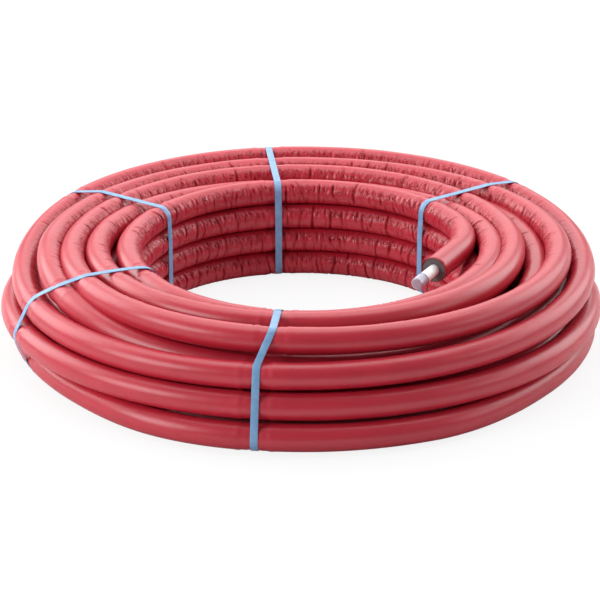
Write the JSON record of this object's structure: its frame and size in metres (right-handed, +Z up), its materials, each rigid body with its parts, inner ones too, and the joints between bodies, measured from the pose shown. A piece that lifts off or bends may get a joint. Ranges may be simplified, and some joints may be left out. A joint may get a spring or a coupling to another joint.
{
  "type": "coil of insulated multilayer pipe",
  "caption": "Flat-lying coil of foam-insulated multilayer pipe under red film, held by flat blue straps, with one free end: cut foam, bare white pipe and an end cap.",
  "frame": {"origin": "on the floor at the coil's axis: the middle of the coil's round base", "axes": "+Z up along the coil's axis; -Y towards the side the free end points to, +X towards the side of the free end"},
  "size_m": [0.8616, 0.8616, 0.1483],
  "materials": {
    "film": "satin-glossy thin red polyethylene film, wrinkled, over soft foam",
    "foam": "matt dark grey closed-cell polyethylene foam, cut face",
    "pipe": "satin white polyethylene outer wall of the multilayer pipe",
    "cap": "translucent pale lilac plastic",
    "strap": "satin light blue flat polypropylene strapping"
  },
  "bodies": {
    "root": {"coil": "film", "pipe_end": "pipe", "end_cap": "cap", "strap_back_right": "strap", "strap_back": "strap", "strap_back_left": "strap", "strap_front_left": "strap", "strap_front": "strap"}
  },
  "joints": []
}
